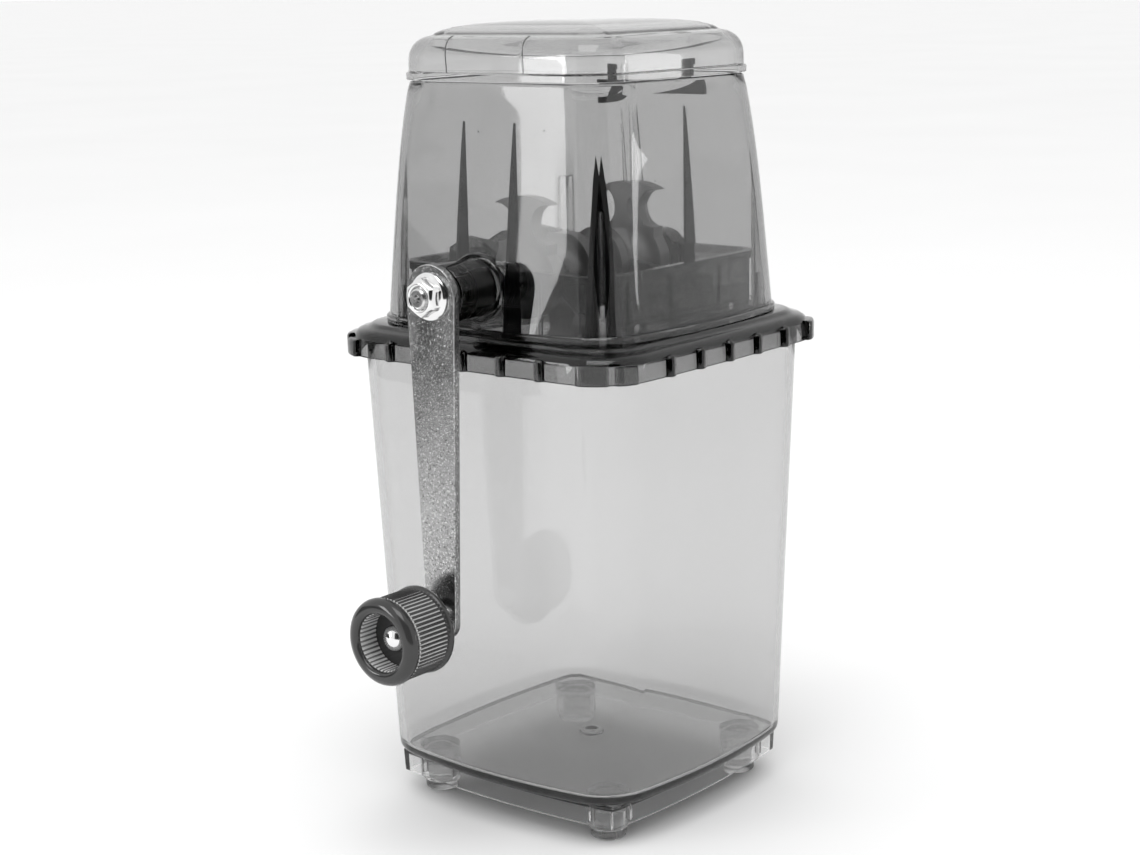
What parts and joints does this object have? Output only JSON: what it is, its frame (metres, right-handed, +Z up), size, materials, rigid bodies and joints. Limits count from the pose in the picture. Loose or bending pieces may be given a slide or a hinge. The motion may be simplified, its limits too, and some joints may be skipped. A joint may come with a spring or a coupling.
{
  "type": "hand-cranked ice crusher",
  "caption": "Hand-cranked ice crusher: clear square container, smoke crushing head with claw rotor and combs, lift-off lid, crank with a spinning knob.",
  "frame": {"origin": "middle of the foot square, on the surface that the feet stand on", "axes": "+Z up; the crank and its knob are on the -Y face; the shaft runs along Y"},
  "size_m": [0.118, 0.1568, 0.2495],
  "materials": {
    "clear": "clear grey acrylic, polished",
    "smoke_light": "light smoke plastic, polished",
    "smoke": "smoke grey plastic, polished",
    "smoke_dark": "dark smoke plastic, polished",
    "foot": "soft translucent grey",
    "steel": "turned and ground steel",
    "claw": "cast and tumbled metal",
    "zinc": "bright zinc-plated steel, speckled",
    "chrome": "bright chrome plate",
    "fastener": "zinc-plated screw",
    "bush": "natural nylon"
  },
  "bodies": {
    "container_unit": {"container": "clear", "base_tray": "smoke_light", "foot_1": "foot", "foot_2": "foot", "foot_3": "foot", "foot_4": "foot"},
    "crushing_head": {"collar": "smoke_dark", "hopper": "smoke", "crusher_box": "smoke_dark", "comb_left": "smoke_dark", "comb_right": "smoke_dark", "comb_screws": "fastener", "front_sleeve": "smoke_dark", "sleeve_ring": "chrome", "front_bush": "bush", "rear_bush": "bush", "housing_screws": "fastener"},
    "lid_unit": {"lid": "smoke", "lid_tongue": "smoke_dark"},
    "crank": {"drive_shaft": "steel", "rotor_spacer": "steel", "thrust_washer": "steel", "claw_1": "claw", "claw_2": "claw", "claw_3": "claw", "claw_4": "claw", "crank_arm": "zinc", "arm_washer": "bush", "crank_nut": "chrome", "knob_rivet": "chrome", "knob_washer": "steel"},
    "knob": {"crank_knob": "smoke"}
  },
  "joints": [
    {"name": "head_lift", "type": "slide", "parent": "container_unit", "child": "crushing_head", "axis": [0, 0, 1], "range_m": [0, 0.06]},
    {"name": "lid_lift", "type": "slide", "parent": "crushing_head", "child": "lid_unit", "axis": [0, 0, 1], "range_m": [0, 0.04]},
    {"name": "crank_turn", "type": "hinge", "parent": "crushing_head", "child": "crank", "pos_m": [0, 0, 0.1715], "axis": [0, 1, 0], "continuous": true},
    {"name": "knob_spin", "type": "hinge", "parent": "crank", "child": "knob", "pos_m": [0, -0.088, 0.0721], "axis": [0, 1, 0], "continuous": true}
  ]
}
